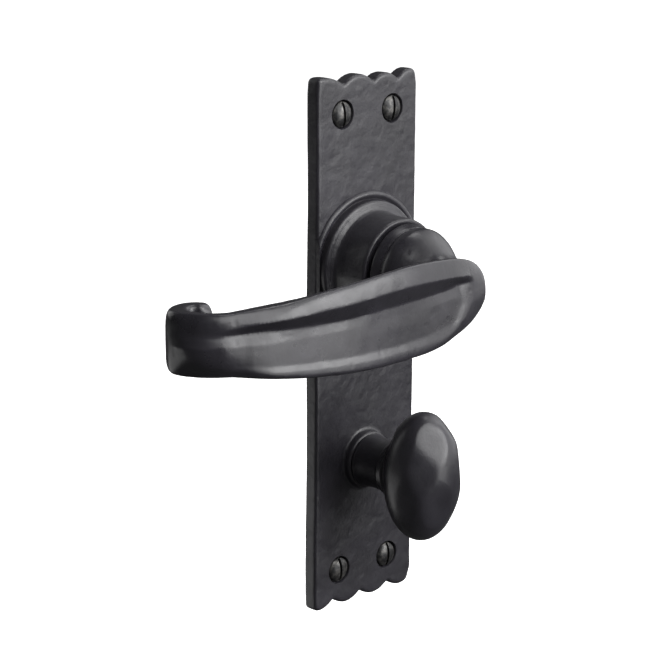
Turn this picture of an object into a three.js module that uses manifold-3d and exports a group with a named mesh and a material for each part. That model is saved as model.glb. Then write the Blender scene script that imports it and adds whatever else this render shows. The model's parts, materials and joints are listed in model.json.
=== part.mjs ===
// Lever handle on a tall backplate with an oval thumb-turn below it.
// Millimetres, +Z up, +X right.  The plate's back lies on y = 0 and its front faces -Y,
// so "out" below is the distance in front of the door's face, and y = -out.
import * as THREE from 'three';
import { mergeVertices } from 'three/addons/utils/BufferGeometryUtils.js';
import Module from 'manifold-3d';

// ---- driving dimensions ----
const GAP = 0.3;                       // air between touching pieces
const SIDES = 32;                      // facets round a turned piece

const PLATE = { height: 152, width: 38, thickness: 4.5, humpDepth: 2.3, middleHump: 10.9, cornerDrop: 1.2 };
const SPINDLE_Z = 22.7;                // lever axis
const TURN_Z = SPINDLE_Z - 57;         // thumb-turn axis, 57 mm below
const BOSS = { foot: 21.4, ring: 18.6, drum: 15.8, drumEnd: 14.6, ringOut: 8.4, drumOut: 18.5 };
const CHAMBER = { radius: 12.6, out: 14, mouthRadius: 17.7, mouthOut: 1.5, bore: 9.9 };
const SHANK = { radius: 8, back: 1.9, acrossFlats: 13.6, flatsOut: 5.6 };
const GROOVE = { back: 2.3, front: 3.4, radius: 7.2 };
const GRIP = { arcRadius: 148.4, crownX: -47.2, crownOut: 53.2, startX: 3.5, arcLength: 88.9,
  scrollLength: 31, scrollRadius: 3.5, thickness: 5.8, tipThickness: 4.6 };
const SCOOP = { left: -88, right: -1, middle: -40, top: 5.8, bottom: 7.6, depth: 1.6 };
const SPINDLE = { across: 8, front: 25, tail: 13.5, grubOut: 22.6 };
const TURN = { neck: 6.6, shank: 5.2, shankBack: 0.6, ringRadius: 8.1, ringOut: 7, knobOut: 27.7,
  knobHalf: [11.3, 10, 18.5], spindleAcross: 5, spindleFront: 14, spindleTail: 13.5,
  grubOut: 11 };
const SCREW = { x: 9.6, z: 66, recess: 4.1, recessBack: 2.1, head: 3.6, shank: 1.75, length: 11, slot: 1 };
const COVER_SCREW_X = 14.7;
const SPRING = { radius: 9.2, wire: 1.3, back: 6.6, front: 12 };
const ANCHOR = { radius: 0.9, at: 11.5, angle: Math.PI / 2 };

// ---- solids ----
const wasm = await Module();
wasm.setup();

// A closed geometry as a solid, with its faces turned outward.
function solid(geometry) {
  const bare = new THREE.BufferGeometry();
  bare.setAttribute('position', geometry.getAttribute('position').clone());
  if (geometry.index) bare.setIndex(geometry.index.clone());
  const merged = mergeVertices(bare, 1e-4);
  const at = merged.getAttribute('position');
  const index = merged.index.array;
  const a = new THREE.Vector3();
  const b = new THREE.Vector3();
  const c = new THREE.Vector3();
  const tris = [];
  let volume = 0;
  for (let i = 0; i < index.length; i += 3) {
    const [p, q, r] = [index[i], index[i + 1], index[i + 2]];
    if (p === q || q === r || r === p) continue;
    a.fromBufferAttribute(at, p);
    b.fromBufferAttribute(at, q);
    c.fromBufferAttribute(at, r);
    volume += a.dot(b.cross(c));
    tris.push(p, q, r);
  }
  if (volume < 0) tris.reverse();
  const mesh = new wasm.Mesh({
    numProp: 3,
    vertProperties: new Float32Array(at.array),
    triVerts: new Uint32Array(tris),
  });
  return new wasm.Manifold(mesh);
}

// A piece turned about an axis parallel to Y at height z; the profile is [radius, out] pairs.
function turned(profile, z = 0, x = 0, sides = SIDES) {
  const points = profile.map(([radius, out]) => new THREE.Vector2(radius, -out));
  const geometry = new THREE.LatheGeometry(points, sides);
  return solid(geometry.translate(x, 0, z));
}

// A plain cylinder along Y from one out to another.
function rod(radius, back, front, z, x = 0, sides = SIDES) {
  return turned([[0, back], [radius, back], [radius, front], [0, front]], z, x, sides);
}

function washer(inner, outer, back, front, z) {
  return turned([[inner, back], [outer, back], [outer, front], [inner, front], [inner, back]], z);
}

// A block given by its lowest and highest x, out and z.
function block([x0, x1], [out0, out1], [z0, z1]) {
  const geometry = new THREE.BoxGeometry(x1 - x0, out1 - out0, z1 - z0);
  return solid(geometry.translate((x0 + x1) / 2, -(out0 + out1) / 2, (z0 + z1) / 2));
}

// An outline drawn in X and Z, carried forward from one out to another.
function frontOutline(shape, back, front, curveSegments = 8) {
  const depth = front - back;
  const geometry = new THREE.ExtrudeGeometry(shape, { depth, bevelEnabled: false, curveSegments });
  return solid(geometry.rotateX(Math.PI / 2).translate(0, -back, 0));
}

// A square bar along Y.
function squareBar(across, back, front, z) {
  return block([-across / 2, across / 2], [back, front], [z - across / 2, z + across / 2]);
}

// ---- backplate ----
// Rectangle with four shallow humps along its top and its bottom, mirrored about the middle.
function plateOutline() {
  const { height, width, humpDepth, middleHump, cornerDrop } = PLATE;
  const valleys = [-middleHump, 0, middleHump];
  const half = width / 2;
  const peak = height / 2;
  const valley = peak - humpDepth;
  const shape = new THREE.Shape();
  const edge = (side) => {                 // side 1 runs the top from left to right
    let [x, z] = [-half, peak - cornerDrop];
    shape.lineTo(side * x, side * z);
    for (const nextX of [...valleys, half]) {
      const nextZ = nextX === half ? peak - cornerDrop : valley;
      const control = 2 * peak - (z + nextZ) / 2;
      shape.quadraticCurveTo(side * (x + nextX) / 2, side * control, side * nextX, side * nextZ);
      [x, z] = [nextX, nextZ];
    }
  };
  shape.moveTo(-half, -(peak - cornerDrop));
  edge(1);
  edge(-1);
  return shape;
}

function backplate() {
  const boss = turned([[0, 0.5], [BOSS.foot, 0.5], [BOSS.foot, 4.9], [20.2, 5.7], [19.3, 7],
    [BOSS.ring, 8.1], [17.4, BOSS.ringOut], [BOSS.drum + 0.2, BOSS.ringOut], [BOSS.drum, 9],
    [14.9, 17.9], [BOSS.drumEnd - 0.3, BOSS.drumOut], [0, BOSS.drumOut]], SPINDLE_Z);
  const trim = block([-PLATE.width / 2, PLATE.width / 2], [0, 30], [-80, 80]);
  const turnRing = turned([[0, 1], [TURN.ringRadius + 0.7, 1], [TURN.ringRadius + 0.7, 4.5],
    [TURN.ringRadius, 5.3], [TURN.ringRadius - 0.4, TURN.ringOut], [0, TURN.ringOut]], TURN_Z);
  let plate = frontOutline(plateOutline(), 0, PLATE.thickness, 6).add(boss.intersect(trim)).add(turnRing);
  const cuts = [
    turned([[0, -1], [CHAMBER.mouthRadius, -1], [CHAMBER.mouthRadius, CHAMBER.mouthOut],
      [CHAMBER.radius, CHAMBER.mouthOut], [CHAMBER.radius, CHAMBER.out], [CHAMBER.bore, CHAMBER.out],
      [CHAMBER.bore, 30], [0, 30]], SPINDLE_Z),
    rod(ANCHOR.radius + 0.2, 0, 15.8, SPINDLE_Z + ANCHOR.at, 0, 16),              // spring anchor pin
    turned([[0, -1], [9, -1], [9, 3], [6.6, 3], [6.6, 10], [0, 10]], TURN_Z),     // turn bush and clip
  ];
  for (const side of [-1, 1]) {
    cuts.push(rod(1.35, 0, 6.6, SPINDLE_Z, side * COVER_SCREW_X, 16));            // cover screws
    for (const end of [-1, 1]) {
      cuts.push(turned([[0, -1], [2.15, -1], [2.15, SCREW.recessBack], [SCREW.recess, SCREW.recessBack],
        [SCREW.recess, 9], [0, 9]], end * SCREW.z, side * SCREW.x, 28));
    }
  }
  for (const cut of cuts) plate = plate.subtract(cut);
  return plate;
}

// ---- lever ----
// Middle line of the grip in plan: a long shallow arc, then a scroll whose curvature grows evenly.
// Returns points with the direction of travel; thickness thins along the scroll.
function gripLine() {
  const { arcRadius, crownX, crownOut, startX, arcLength, scrollLength, scrollRadius } = GRIP;
  const startAngle = Math.asin((startX - crownX) / arcRadius);
  const line = [];
  const arcSteps = 18;
  for (let i = 0; i <= arcSteps; i += 1) {
    const turn = startAngle - (arcLength * i / arcSteps) / arcRadius;
    line.push({ x: crownX + arcRadius * Math.sin(turn), out: crownOut - arcRadius * (1 - Math.cos(turn)),
      heading: Math.atan2(Math.sin(turn), -Math.cos(turn)), thickness: GRIP.thickness });
  }
  const scrollSteps = 26;
  const step = scrollLength / scrollSteps;
  let { x, out, heading } = line[arcSteps];
  for (let i = 1; i <= scrollSteps; i += 1) {
    const along = (i - 0.5) / scrollSteps;
    const curvature = 1 / arcRadius + along * (1 / scrollRadius - 1 / arcRadius);
    heading += curvature * step / 2;
    x += Math.cos(heading) * step;
    out += Math.sin(heading) * step;
    heading += curvature * step / 2;
    const thickness = GRIP.thickness + (GRIP.tipThickness - GRIP.thickness) * i / scrollSteps;
    line.push({ x, out, heading, thickness });
  }
  return line;
}

function gripPlan() {
  const line = gripLine();
  const side = (p, sign) => new THREE.Vector2(
    p.x + sign * Math.sin(p.heading) * p.thickness / 2,
    -(p.out - sign * Math.cos(p.heading) * p.thickness / 2));
  const front = line.map((p) => side(p, 1));
  const back = line.map((p) => side(p, -1)).reverse();
  const tip = line[line.length - 1];
  const noseX = tip.x + Math.cos(tip.heading) * 1.6;
  const nose = new THREE.Vector2(noseX, -(tip.out + Math.sin(tip.heading) * 1.6));
  return new THREE.Shape([...front, nose, ...back]);
}

// Front view of the grip: a leaf, widest at the middle, with a blunt round end over the neck.
function leafOutline() {
  const halfHeights = [[-34, 11.95], [-66, 10.85], [-93, 7.7]];
  const leftEnd = -102;
  const shape = new THREE.Shape();
  shape.moveTo(GRIP.startX, SPINDLE_Z);
  const side = (sign) => [
    new THREE.Vector2(0, SPINDLE_Z + sign * 5.4),
    new THREE.Vector2(-6, SPINDLE_Z + sign * 8.5),
    new THREE.Vector2(-18, SPINDLE_Z + sign * 10.8),
    ...halfHeights.map(([x, half]) => new THREE.Vector2(x, SPINDLE_Z + sign * half)),
    new THREE.Vector2(leftEnd, SPINDLE_Z + sign * 7.4),
  ];
  shape.splineThru(side(1));
  shape.lineTo(leftEnd, SPINDLE_Z - 7.4);
  shape.splineThru(side(-1).reverse().slice(1).concat(new THREE.Vector2(GRIP.startX, SPINDLE_Z)));
  return shape;
}

function lever() {
  const plan = new THREE.ExtrudeGeometry(gripPlan(), { depth: 30, bevelEnabled: false });
  const band = solid(plan.translate(0, 0, SPINDLE_Z - 15));
  const grip = band.intersect(frontOutline(leafOutline(), 20, 70, 16));

  // The scoop follows the front of the grip, inside a slimmer pointed leaf.
  const { arcRadius, crownX, crownOut, thickness } = GRIP;
  const pointed = new THREE.Shape();
  pointed.moveTo(SCOOP.right, SPINDLE_Z + 2);
  pointed.quadraticCurveTo(SCOOP.middle, SPINDLE_Z + 2 * SCOOP.top - 2, SCOOP.left, SPINDLE_Z);
  pointed.quadraticCurveTo(SCOOP.middle, SPINDLE_Z - 2 * SCOOP.bottom, SCOOP.right, SPINDLE_Z + 2);
  const floorRadius = arcRadius + thickness / 2 - SCOOP.depth;
  const floor = new THREE.CylinderGeometry(floorRadius, floorRadius, 40, 160).rotateX(Math.PI / 2);
  const keep = solid(floor.translate(crownX, arcRadius - crownOut, SPINDLE_Z));
  const scoop = frontOutline(pointed, 30, 70, 10).subtract(keep);

  // Shank inside the drum, collar in front of it, then the bulb down to a slim waist.
  const neck = turned([[0, SHANK.back], [SHANK.radius, SHANK.back], [SHANK.radius, GROOVE.back],
    [GROOVE.radius, GROOVE.back], [GROOVE.radius, GROOVE.front], [SHANK.radius, GROOVE.front],
    [SHANK.radius, 19.6], [13.5, 19.6], [13.8, 20.2], [13.2, 21.4], [12.8, 22.6], [13.2, 24], [13.2, 25],
    [12.6, 26.5], [11.4, 28], [10.1, 29.5], [8.8, 31], [7.6, 32.5], [6.7, 34], [6.1, 35.5], [5.9, 37],
    [5.9, 38.5], [0, 38.5]], SPINDLE_Z);
  const stations = [[0, 36], [0, 39], [-1.6, 42], [-3.6, 45], [-3.6, 47.2]];
  const bend = new THREE.CatmullRomCurve3(stations.map(([x, out]) => new THREE.Vector3(x, -out, SPINDLE_Z)));
  const ring = new THREE.Shape().absarc(0, 0, 5.8, 0, 2 * Math.PI, false);
  const swept = new THREE.ExtrudeGeometry(ring, { extrudePath: bend, steps: 10, curveSegments: 16 });
  const gooseneck = solid(swept);

  const hollow = SPINDLE.across + 2 * GAP;
  let body = grip.subtract(scoop).add(neck).add(gooseneck);
  body = body.subtract(squareBar(hollow, -1, SPINDLE.front + GAP, SPINDLE_Z));
  body = body.subtract(grubRod(2.8, SPINDLE.grubOut, SPINDLE_Z - 11, 16));
  for (const sign of [-1, 1]) {
    const inner = sign * SHANK.acrossFlats / 2;
    const flat = [Math.min(inner, inner + sign * 4), Math.max(inner, inner + sign * 4)];
    body = body.subtract(block(flat, [0, SHANK.flatsOut], [SPINDLE_Z - 10, SPINDLE_Z + 10]));
  }
  return body;
}

// An upright rod, used for the set screws and their holes.
function grubRod(radius, out, middle, length, sides = 20) {
  const geometry = new THREE.CylinderGeometry(radius, radius, length, sides).rotateX(Math.PI / 2);
  return solid(geometry.translate(0, -out, middle));
}

// Set screw driven upward against a square bar, with a hexagonal key socket in its lower end.
function setScrew(radius, keyRadius, out, top, bottom) {
  const body = grubRod(radius, out, (top + bottom) / 2, top - bottom);
  return body.subtract(grubRod(keyRadius, out, bottom, (top - bottom) * 0.9, 6));
}

// ---- spring chamber ----
function leverBush() {
  const inner = SHANK.radius + GAP;
  const flange = BOSS.drumOut + GAP;
  return turned([[inner, 13.9], [9.6, 13.9], [9.6, flange], [12.9, flange], [12.9, 19.3], [inner, 19.3],
    [inner, 13.9]], SPINDLE_Z);
}

// Torsion spring: a round wire wound round the shank.  Its front leg reaches past the anchor pin and
// its back leg rests against the driver's lug.
const LUG_ANGLE = THREE.MathUtils.degToRad(205);

function returnSpring() {
  const { radius, back, front, wire } = SPRING;
  const legRadius = 11.6;
  const start = LUG_ANGLE - 0.16;
  const end = ANCHOR.angle + 0.16 + 8 * Math.PI;
  const coilSteps = 60;
  const at = (r, angle, out) => {
    return new THREE.Vector3(r * Math.cos(angle), -out, SPINDLE_Z + r * Math.sin(angle));
  };
  const points = [at(legRadius, start - 0.1, back), at((radius + legRadius) / 2, start - 0.06, back)];
  for (let i = 0; i <= coilSteps; i += 1) {
    const along = i / coilSteps;
    points.push(at(radius, start + (end - start) * along, back + (front - back) * along));
  }
  points.push(at((radius + legRadius) / 2, end + 0.06, front), at(legRadius, end + 0.1, front));
  const section = new THREE.Shape().absarc(0, 0, wire / 2, 0, 2 * Math.PI, false);
  const path = new THREE.CatmullRomCurve3(points);
  return solid(new THREE.ExtrudeGeometry(section, { extrudePath: path, steps: 84, curveSegments: 4 }));
}

// Disc that fits the shank's flats; the notch in its rim gives the lever its travel against the stop pin.
const TRAVEL = THREE.MathUtils.degToRad(50);
const STOP = { radius: 1.1, at: 11.1, angle: -Math.PI / 2 };

function springDriver() {
  const [back, front] = [3.6, 5.2];
  const disc = rod(12.1, back, front, SPINDLE_Z);
  const flats = SHANK.acrossFlats / 2 + GAP;
  const between = block([-flats, flats], [0, 10], [SPINDLE_Z - 12, SPINDLE_Z + 12]);
  const hole = rod(SHANK.radius + GAP, 0, 10, SPINDLE_Z).intersect(between);
  const spare = (STOP.radius + 0.25) / STOP.at;
  const notch = new THREE.Shape();
  const [from, to] = [STOP.angle - TRAVEL - spare, STOP.angle + spare];
  notch.absarc(0, SPINDLE_Z, 9.6, from, to, false);
  notch.absarc(0, SPINDLE_Z, 14, to, from, true);
  const tab = new THREE.BoxGeometry(1.7, 8 - back, 1.4);
  tab.translate(11.15, -(8 + back) / 2, 0).rotateY(-LUG_ANGLE).translate(0, 0, SPINDLE_Z);
  return disc.subtract(hole).subtract(frontOutline(notch, 0, 10, 12)).add(solid(tab));
}

function leverCirclip() {
  const ring = washer(GROOVE.radius + GAP, 9.3, GROOVE.back + 0.2, GROOVE.front - 0.2, SPINDLE_Z);
  return ring.subtract(block([-2, 2], [0, 5], [SPINDLE_Z - 12, SPINDLE_Z]));
}

function springCover() {
  let cover = rod(CHAMBER.mouthRadius - GAP, 0.3, 1.2, SPINDLE_Z).subtract(rod(6.4, 0, 5, SPINDLE_Z));
  for (const x of [-COVER_SCREW_X, COVER_SCREW_X]) {
    const hole = turned([[0, 0], [2.55, 0], [1.35, 1.3], [1.35, 5], [0, 5]], SPINDLE_Z, x, 20);
    cover = cover.subtract(hole);
  }
  return cover.subtract(rod(STOP.radius + 0.15, 0, 5, SPINDLE_Z - STOP.at, 0, 16));
}

function coverScrew(side) {
  const x = side * COVER_SCREW_X;
  const screw = turned([[0, 0.1], [2.2, 0.1], [1.15, 1.2], [1.15, 6], [0, 6]], SPINDLE_Z, x, 20);
  return screw.subtract(block([x - 3, x + 3], [0, 0.6], [SPINDLE_Z - 0.3, SPINDLE_Z + 0.3]));
}

// ---- spindles and thumb-turn ----
function chamferedBar(across, back, front, z) {
  const half = across / 2;
  const shape = new THREE.Shape();
  const cut = across * 0.09;
  const corners = [[1, 1], [-1, 1], [-1, -1], [1, -1]];
  const points = corners.flatMap(([sx, sz], i) => {
    const first = new THREE.Vector2(sx * (half - (i % 2 ? cut : 0)), z + sz * (half - (i % 2 ? 0 : cut)));
    const second = new THREE.Vector2(sx * (half - (i % 2 ? 0 : cut)), z + sz * (half - (i % 2 ? cut : 0)));
    return [first, second];
  });
  shape.setFromPoints(points);
  return frontOutline(shape, back, front);
}

function turnKnob() {
  const [a, b, c] = TURN.knobHalf;
  const oval = new THREE.SphereGeometry(1, 28, 18);
  oval.scale(a, b, c).translate(0, -TURN.knobOut, TURN_Z);
  const neck = turned([[0, TURN.shankBack], [TURN.shank, TURN.shankBack], [TURN.shank, 1.1], [4.6, 1.1],
    [4.6, 1.9], [TURN.shank, 1.9], [TURN.shank, 7.6], [TURN.neck + 0.5, 7.6], [TURN.neck + 0.2, 9],
    [TURN.neck - 0.4, 13], [TURN.neck, 17], [8.2, 20], [0, 24]], TURN_Z);
  const hollow = squareBar(TURN.spindleAcross + 2 * GAP, -1, TURN.spindleFront + GAP, TURN_Z);
  const grubHole = grubRod(2.1, TURN.grubOut, TURN_Z - 6, 8);
  return solid(oval).add(neck).subtract(hollow).subtract(grubHole);
}

function turnBush() {
  const inner = TURN.shank + GAP;
  return turned([[inner, 3.4], [6.3, 3.4], [6.3, TURN.ringOut], [6.3, 7.05], [7.5, 7.05], [7.5, 7.35],
    [inner, 7.35], [inner, 3.4]], TURN_Z);
}

function turnCirclip() {
  const ring = washer(4.6 + 0.2, 6.6, 1.2, 1.8, TURN_Z);
  return ring.subtract(block([-1.5, 1.5], [0, 3], [TURN_Z - 9, TURN_Z]));
}

function woodScrew(x, z) {
  const { head, shank, length, slot, recessBack } = SCREW;
  const seat = recessBack + GAP;
  const tip = seat - length;
  const screw = turned([[0, tip], [0.5, tip + 1], [shank, tip + 4.5], [shank, seat], [head, seat],
    [head, seat + 0.6], [head * 0.9, seat + 1.2], [head * 0.62, seat + 1.75], [head * 0.3, seat + 2],
    [0, seat + 2.05]], z, x, 24);
  return screw.subtract(block([x - slot / 2, x + slot / 2], [seat + 1, seat + 3], [z - 5, z + 5]));
}

// ---- assembly ----
const FINISH = {
  castBlack: { color: 0x1d1d20, roughness: 0.45, metalness: 0.35 },
  steel: { color: 0x9a9da1, roughness: 0.35, metalness: 0.9 },
  springSteel: { color: 0x4c4f55, roughness: 0.4, metalness: 0.9 },
  nylon: { color: 0x232325, roughness: 0.6, metalness: 0 },
  blackScrew: { color: 0x2b2b2e, roughness: 0.4, metalness: 0.6 },
};

const handle = new THREE.Group();
handle.name = 'door_lever_handle';

function piece(name, shape, finish) {
  const { vertProperties, triVerts } = shape.getMesh();
  const geometry = new THREE.BufferGeometry();
  geometry.setAttribute('position', new THREE.BufferAttribute(new Float32Array(vertProperties), 3));
  geometry.setIndex(new THREE.BufferAttribute(new Uint32Array(triVerts), 1));
  geometry.computeVertexNormals();
  const mesh = new THREE.Mesh(geometry, new THREE.MeshStandardMaterial(FINISH[finish]));
  mesh.name = name;
  handle.add(mesh);
}

piece('backplate', backplate(), 'castBlack');
piece('lever', lever(), 'castBlack');
piece('lever_bush', leverBush(), 'nylon');
piece('thrust_washer', washer(SHANK.radius + GAP, 10.3, 13, 13.7, SPINDLE_Z), 'steel');
piece('return_spring', returnSpring(), 'springSteel');
piece('spring_driver', springDriver(), 'steel');
piece('lever_circlip', leverCirclip(), 'springSteel');
piece('spring_anchor_pin', rod(ANCHOR.radius, 5.8, 15.6, SPINDLE_Z + ANCHOR.at, 0, 16), 'steel');
piece('stop_pin', rod(STOP.radius, 0.3, 5.6, SPINDLE_Z - STOP.at, 0, 16), 'steel');
piece('spring_cover', springCover(), 'steel');
piece('cover_screw_left', coverScrew(-1), 'steel');
piece('cover_screw_right', coverScrew(1), 'steel');
const leverSpindle = chamferedBar(SPINDLE.across, -SPINDLE.tail, SPINDLE.front, SPINDLE_Z);
piece('lever_spindle', leverSpindle, 'steel');
const leverGrub = setScrew(2.5, 1.45, SPINDLE.grubOut, SPINDLE_Z - 4.6, SPINDLE_Z - 11.4);
piece('lever_grub_screw', leverGrub, 'blackScrew');
piece('turn_knob', turnKnob(), 'castBlack');
piece('turn_bush', turnBush(), 'nylon');
piece('turn_wave_washer', washer(TURN.shank + GAP, 8.4, 2.1, 2.6, TURN_Z), 'springSteel');
piece('turn_circlip', turnCirclip(), 'springSteel');
piece('turn_grub_screw', setScrew(1.85, 1, TURN.grubOut, TURN_Z - 3, TURN_Z - 5.8), 'blackScrew');
const turnSpindle = chamferedBar(TURN.spindleAcross, -TURN.spindleTail, TURN.spindleFront, TURN_Z);
piece('turn_spindle', turnSpindle, 'steel');
for (const [level, end] of [['top', 1], ['bottom', -1]]) {
  for (const [hand, side] of [['left', -1], ['right', 1]]) {
    piece(`wood_screw_${level}_${hand}`, woodScrew(side * SCREW.x, end * SCREW.z), 'blackScrew');
  }
}

export default handle;
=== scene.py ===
"""Black cast lever handle with a thumb-turn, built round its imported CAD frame.

Lengths in the shape functions are millimetres and become metres when a mesh is made.  "Out" is
the distance in front of the door's face, so y = -out; x runs to the right and z up.
"""

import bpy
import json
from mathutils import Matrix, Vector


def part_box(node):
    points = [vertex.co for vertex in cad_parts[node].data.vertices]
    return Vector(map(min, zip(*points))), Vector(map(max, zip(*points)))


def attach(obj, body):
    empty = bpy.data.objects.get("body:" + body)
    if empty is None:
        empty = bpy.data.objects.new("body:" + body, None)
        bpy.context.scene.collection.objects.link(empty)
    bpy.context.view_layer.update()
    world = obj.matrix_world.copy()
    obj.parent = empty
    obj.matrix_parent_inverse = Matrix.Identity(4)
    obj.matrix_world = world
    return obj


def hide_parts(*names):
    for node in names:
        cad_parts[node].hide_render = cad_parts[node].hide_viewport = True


bl_info = {
    "name": "Lever handle on a scalloped backplate",
    "version": (1, 0, 0),
    "blender": (4, 5, 0),
    "location": "3D View > Sidebar > Handle",
    "description": "Casts, turns and finishes the pieces of a door lever handle with a thumb-turn",
    "category": "Add Mesh",
}

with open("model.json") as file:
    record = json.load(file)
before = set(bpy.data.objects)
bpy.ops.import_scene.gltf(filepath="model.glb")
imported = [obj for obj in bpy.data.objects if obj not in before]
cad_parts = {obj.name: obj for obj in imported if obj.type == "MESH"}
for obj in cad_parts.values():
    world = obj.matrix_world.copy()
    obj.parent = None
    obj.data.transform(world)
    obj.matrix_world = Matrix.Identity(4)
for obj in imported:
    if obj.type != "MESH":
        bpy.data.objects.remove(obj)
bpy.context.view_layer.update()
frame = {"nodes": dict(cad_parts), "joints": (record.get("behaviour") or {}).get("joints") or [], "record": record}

import itertools
import json
import math

import bmesh
import bpy
import numpy as np
from bpy.props import FloatProperty, FloatVectorProperty, PointerProperty
from mathutils import Matrix, Vector

MM = 0.001
JOINTS = {joint["name"]: joint for joint in frame["joints"]}
SPINDLE_Z = JOINTS["lever_turn"]["pos_m"][2] / MM
TURN_Z = JOINTS["thumb_turn"]["pos_m"][2] / MM
PLATE_HIGH = np.array(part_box("backplate")[1]) / MM
GRIP_END = 4.2  # where the grip ends on the right, in millimetres


# ---------------------------------------------------------------- settings

def length(name, description, millimetres):
    """A length property that is shown in the scene's units and holds metres."""
    return FloatProperty(name=name, description=description, default=millimetres * MM,
                         unit="LENGTH", subtype="DISTANCE", precision=5)


class PlateSettings(bpy.types.PropertyGroup):
    thickness: length("Thickness", "Plate thickness between its flat faces", 4.5)
    edge_round: length("Edge round", "Radius worn onto the plate's front edge", 0.95)
    hump_depth: length("Hump depth", "Depth of the notches between the humps", 2.3)
    top_notches: FloatVectorProperty(name="Top notches", size=3, unit="LENGTH",
                                     description="Where the top notches lie across the plate",
                                     default=(-0.0089, 0.0025, 0.0119))
    bottom_notches: FloatVectorProperty(name="Bottom notches", size=3, unit="LENGTH",
                                        description="Where the bottom notches lie across the plate",
                                        default=(-0.0116, -0.0008, 0.0104))
    relief: length("Relief", "Height of the cast plate's soft unevenness", 0.19)


class LeverSettings(bpy.types.PropertyGroup):
    arc_radius: length("Arc radius", "Radius of the grip's long shallow arc", 148.4)
    arc_length: length("Arc length", "Length of that arc before the scroll starts", 89.4)
    crown_x: length("Crown", "Where the arc stands furthest out", -47.2)
    crown_out: length("Crown out", "How far the arc's middle line stands out there", 53.2)
    scroll_length: length("Scroll length", "Length of the scroll along its middle line", 31)
    scroll_radius: length("Scroll radius", "Tightest radius, at the scroll's tip", 3.5)
    half_height: length("Half height", "Half the grip's greatest height", 11.95)
    scoop_depth: length("Scoop depth", "Depth of the scoop along the grip's front", 2.1)


class TurnSettings(bpy.types.PropertyGroup):
    knob_half: FloatVectorProperty(name="Knob half sizes", size=3, unit="LENGTH",
                                   description="Half the knob's width, depth and height",
                                   default=(0.0117, 0.0103, 0.0186))
    knob_out: length("Knob out", "How far the knob's middle stands out", 27.7)
    neck: length("Neck", "Radius of the neck at its waist", 7.2)


class ScrewSettings(bpy.types.PropertyGroup):
    head: length("Head", "Radius of a screw's round head", 3.55)
    slot: length("Slot", "Width of the driver slot", 0.85)
    thread: length("Thread", "Height of the thread above the core", 0.45)


class FinishSettings(bpy.types.PropertyGroup):
    coat: FloatVectorProperty(name="Coat", description="Colour of the black coat", subtype="COLOR", size=4,
                              min=0, max=1, default=(0.0225, 0.0213, 0.0265, 1))
    roughness: FloatProperty(name="Roughness", description="How satin the black coat is", default=0.36,
                             min=0, max=1, subtype="FACTOR")


class StudioSettings(bpy.types.PropertyGroup):
    azimuth: FloatProperty(name="Azimuth", description="Camera bearing, 0 looks at the front",
                           subtype="ANGLE", unit="ROTATION", default=math.radians(-43.66))
    elevation: FloatProperty(name="Elevation", description="Camera height angle", subtype="ANGLE",
                             unit="ROTATION", default=math.radians(13.97))
    roll: FloatProperty(name="Roll", description="Camera roll", subtype="ANGLE", unit="ROTATION",
                        default=math.radians(0.35))
    distance: length("Distance", "Camera distance from the point it looks at", 619.7)
    aim: FloatVectorProperty(name="Aim", description="The point the camera looks at", size=3, unit="LENGTH",
                             default=(-0.0052, 0.0067, 0.0039))
    lens: FloatProperty(name="Lens", description="Focal length", default=120.24, unit="CAMERA")


# ---------------------------------------------------------------- numpy shapes, in millimetres

def smoothstep(value, low, high):
    """0 below low, 1 above high, and 3t^2 - 2t^3 between them."""
    t = np.clip((np.asarray(value, float) - low) / (high - low), 0, 1)
    return t * t * (3 - 2 * t)


def smooth_max(a, b, reach):
    """The larger of a and b, with the corner between them rounded over reach."""
    h = np.clip(0.5 + 0.5 * (a - b) / reach, 0, 1)
    return b + (a - b) * h + reach * h * (1 - h)


def lattice_noise(points, cell, seed):
    """Noise from -1 to 1: random values on a repeating cubic lattice, blended by 3t^2 - 2t^3."""
    size = 32
    table = np.random.default_rng(seed).uniform(-1, 1, (size, size, size))
    place = points / cell
    base = np.floor(place).astype(int)
    part = place - base
    part = part * part * (3 - 2 * part)
    value = np.zeros(len(points))
    for corner in itertools.product((0, 1), repeat=3):
        weight = np.prod(np.where(corner, part, 1 - part), axis=1)
        i, j, k = ((base + corner) % size).T
        value += weight * table[i, j, k]
    return value


def eased(corners, steps=6):
    """A polyline from (a, b, reach) corners; a quadratic curve that starts reach away rounds each one."""
    points = np.array([corner[:2] for corner in corners], float)
    reaches = [corner[2] if len(corner) > 2 else 0 for corner in corners]
    t = np.linspace(0, 1, steps)[:, None]
    line = []
    for i, (point, reach) in enumerate(zip(points, reaches)):
        if reach == 0 or i in (0, len(points) - 1):
            line.append(point[None])
            continue
        before, after = points[i - 1] - point, points[i + 1] - point
        a = point + before * min(reach / np.linalg.norm(before), 0.5)
        b = point + after * min(reach / np.linalg.norm(after), 0.5)
        line.append((1 - t) ** 2 * a + 2 * t * (1 - t) * point + t ** 2 * b)
    return np.concatenate(line)


def through(points, count):
    """A Catmull-Rom curve through the points, with count samples evenly spaced in its parameter."""
    p = np.array(points, float)
    p = np.concatenate([[2 * p[0] - p[1]], p, [2 * p[-1] - p[-2]]])
    u = np.linspace(0, len(points) - 1 - 1e-9, count)
    i = np.floor(u).astype(int)
    t = (u - i)[:, None]
    a, b, c, d = p[i], p[i + 1], p[i + 2], p[i + 3]
    return 0.5 * (2 * b + (c - a) * t + (2 * a - 5 * b + 4 * c - d) * t ** 2
                  + (3 * b - a - 3 * c + d) * t ** 3)


def turned(profile, z, x=0.0, sides=96):
    """Revolves (radius, out) points about an axis along y: x = r cos a, z = r sin a."""
    radius, out = np.asarray(profile, float).T[:, :, None]
    angle = np.linspace(0, 2 * np.pi, sides, endpoint=False)[None]
    shape = np.broadcast_shapes(radius.shape, angle.shape)
    return np.stack([x + radius * np.cos(angle), -np.broadcast_to(out, shape), z + radius * np.sin(angle)],
                    axis=2)


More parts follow.
